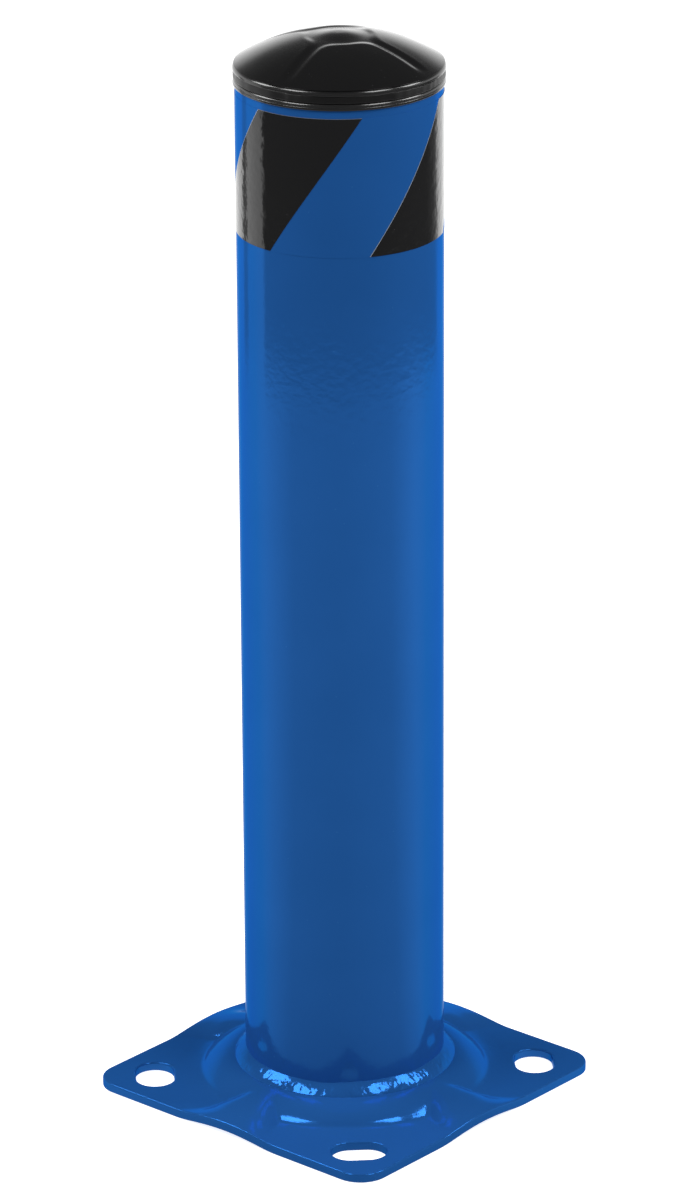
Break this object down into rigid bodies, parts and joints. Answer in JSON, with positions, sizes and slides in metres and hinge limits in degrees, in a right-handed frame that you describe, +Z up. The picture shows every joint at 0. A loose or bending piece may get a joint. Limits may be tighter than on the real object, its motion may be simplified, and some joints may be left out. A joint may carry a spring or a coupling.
{
  "type": "safety bollard",
  "caption": "Short round steel bollard welded to a pressed square base plate with slotted anchor holes, with a banded tape stripe and a domed plug-in cap.",
  "frame": {"origin": "middle of the underside of the base plate, on the floor", "axes": "+Z up along the tube, the plate's sides along X and Y"},
  "size_m": [0.208, 0.208, 0.625],
  "materials": {
    "blue_coat": "glossy royal-blue powder coat with a fine orange peel",
    "cap_plastic": "satin-gloss black moulded plastic",
    "band_rubber": "black rubber",
    "tape_blue": "glossy blue tape film",
    "tape_black": "glossy black vinyl"
  },
  "bodies": {
    "root": {"post_tube": "blue_coat", "base_plate": "blue_coat", "base_weld": "blue_coat", "tape_film": "tape_blue", "tape_stripes": "tape_black"},
    "cap": {"cap": "cap_plastic", "cap_band": "band_rubber"}
  },
  "joints": [
    {"name": "cap_lift", "type": "slide", "parent": "root", "child": "cap", "axis": [0, 0, 1], "range_m": [0, 0.03]}
  ]
}
